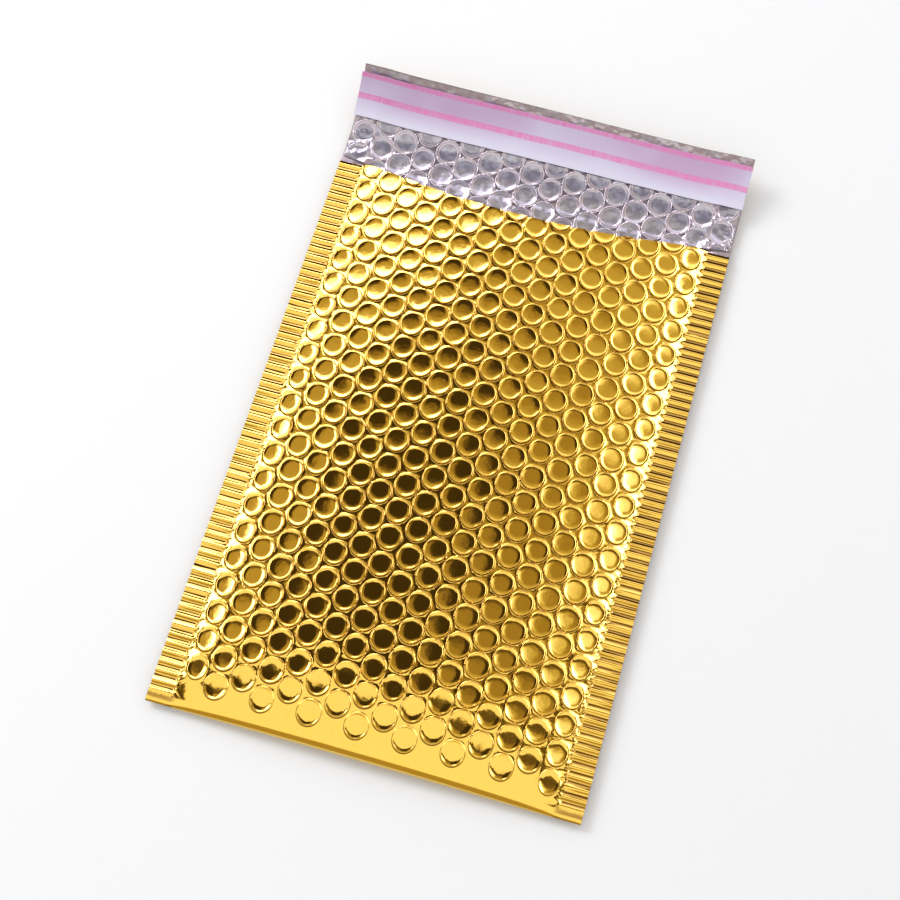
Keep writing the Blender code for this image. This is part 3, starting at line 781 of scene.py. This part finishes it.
# Brightness of the surroundings by two angles: rise, from the horizon on the camera's side over the
# zenith (90) to the far one, and lean, sideways from the zenith to the right. A pair of bounds is a
# soft step, and four are a band with soft ends
sky = {
    "low": 0.55, "lowRise": (55.0, 70.0),                                # below the camera's side
    "near": 1.45, "nearRise": (97.0, 98.6),                              # what the web's foot shows
    "wide": 0.15, "wideRise": (102.0, 107.0),                            # the dim strip next to it
    "dark": 0.06, "card": (-24.0, -20.5, -2.5, 0.5),                     # dark card overhead
    "left": 0.62, "right": 0.46, "sideLean": (-12.0, -8.0),              # to its left and right
    "rising": 1.7, "risingLean": (8.0, 19.0),
    "middle": 0.72, "middleRise": (113.0, 118.5),
    "far": 2.3, "farRise": (122.0, 131.0), "backRise": (136.0, 150.0),
    "boxes": 8.0,                                                        # bright soft boxes
    "leftBox": (-40.0, -34.0, -16.0, -10.0), "leftBoxRise": (118.5, 124.0, 150.0, 160.0),
    "rightBox": (20.0, 26.0, 38.0, 46.0), "rightBoxRise": (107.5, 113.0, 150.0, 160.0),
    "nookBox": (-52.0, -46.0, -37.0, -33.0), "nookBoxRise": (99.0, 104.0, 120.0, 126.0),
    "horizon": 0.07, "horizonHeight": (0.22, 0.46), "horizonRise": (80.0, 100.0),
    "wobble": 3.0, "wobbleScale": 9.0, "plain": 0.74,
    "tints": ((0.05, (1.0, 0.70, 0.30)), (0.5, (1.0, 0.73, 0.22)), (0.85, (1.0, 0.88, 0.42)),
              (1.4, (1.0, 0.94, 0.74)), (2.0, (1.0, 0.90, 1.0))),
}


def makeWorld():
    # the pattern shows in reflections alone; it lights the object evenly, and the camera sees white
    world = bpy.data.worlds.new("studio")
    bpy.context.scene.world = world
    world.use_nodes = True
    tree = world.node_tree
    background = tree.nodes["Background"]
    where = addNode(tree, "ShaderNodeTexCoord").outputs["Generated"]
    split = addNode(tree, "ShaderNodeSeparateXYZ", {0: where})
    across, along, up = split.outputs["X"], split.outputs["Y"], split.outputs["Z"]

    def angleOf(a, b):
        return calculate(tree, "MULTIPLY", calculate(tree, "ARCTAN2", a, b), 180 / math.pi)

    def step(value, bounds, low=0.0, high=1.0):
        return mapRange(tree, value, bounds, (low, high), "SMOOTHSTEP")

    def band(value, bounds):
        return calculate(tree, "MULTIPLY", step(value, bounds[:2]), step(value, bounds[2:], 1.0, 0.0))

    def blend(amount, a, b):
        return addNode(tree, "ShaderNodeMix", {0: amount, 2: a, 3: b}).outputs[0]

    waves = calculate(tree, "SUBTRACT", addNoise(tree, where, sky["wobbleScale"], 2.0), 0.5)
    waves = calculate(tree, "MULTIPLY", waves, sky["wobble"] * 2)
    rise = calculate(tree, "ADD", angleOf(up, calculate(tree, "MULTIPLY", along, -1.0)), waves)
    lean = calculate(tree, "ADD", angleOf(across, up), waves)

    beside = step(lean, sky["sideLean"], sky["left"], sky["right"])
    beside = blend(step(lean, sky["risingLean"]), beside, sky["rising"])
    beside = blend(step(rise, sky["wideRise"]), sky["wide"], beside)
    total = blend(band(lean, sky["card"]), beside, sky["dark"])
    total = blend(step(rise, sky["middleRise"]), total, sky["middle"])
    total = blend(step(rise, sky["farRise"]), total, sky["far"])
    total = blend(step(rise, sky["nearRise"]), sky["near"], total)
    for side in ("left", "right", "nook"):
        box = calculate(tree, "MULTIPLY", band(lean, sky[side + "Box"]), band(rise, sky[side + "BoxRise"]))
        total = blend(box, total, sky["boxes"])
    total = blend(step(rise, sky["lowRise"]), sky["low"], total)
    total = blend(step(rise, sky["backRise"]), total, sky["horizon"])
    horizon = blend(step(rise, sky["horizonRise"]), sky["low"], sky["horizon"])
    total = blend(step(up, sky["horizonHeight"]), horizon, total)

    stops = [(brightness * 0.5, (*colour, 1)) for brightness, colour in sky["tints"]]
    tint = addRamp(tree, calculate(tree, "MULTIPLY", total, 0.5), stops)
    path = addNode(tree, "ShaderNodeLightPath")
    mirrored = calculate(tree, "MAXIMUM", path.outputs["Is Glossy Ray"], path.outputs["Is Transmission Ray"])
    colour = mixColours(tree, mirrored, (1, 1, 1, 1), tint)
    strength = blend(path.outputs["Is Camera Ray"], blend(mirrored, sky["plain"], total), 1.0)
    tree.links.new(colour, background.inputs["Color"])
    tree.links.new(strength, background.inputs["Strength"])


lamps = {
    "left": {"place": (-1.3, 0.5, 1.1), "size": (0.8, 0.8), "power": 14.0},
    "back": {"place": (-0.2, 1.6, 0.9), "size": (1.2, 0.6), "power": 1.5},
}


def makeLamps():
    for name, lamp in lamps.items():
        data = bpy.data.lights.new(name, "AREA")
        data.shape = "RECTANGLE"
        data.size, data.size_y = lamp["size"]
        data.energy = lamp["power"]
        thing = bpy.data.objects.new(name, data)
        thing.location = lamp["place"]
        thing.rotation_euler = (-Vector(lamp["place"])).to_track_quat("-Z", "Y").to_euler()
        thing.visible_glossy = False
        bpy.context.scene.collection.objects.link(thing)


makeFloor()
makeCamera()
makeWorld()
makeLamps()
bpy.context.scene.view_settings.view_transform = "Standard"
print("stage ready")
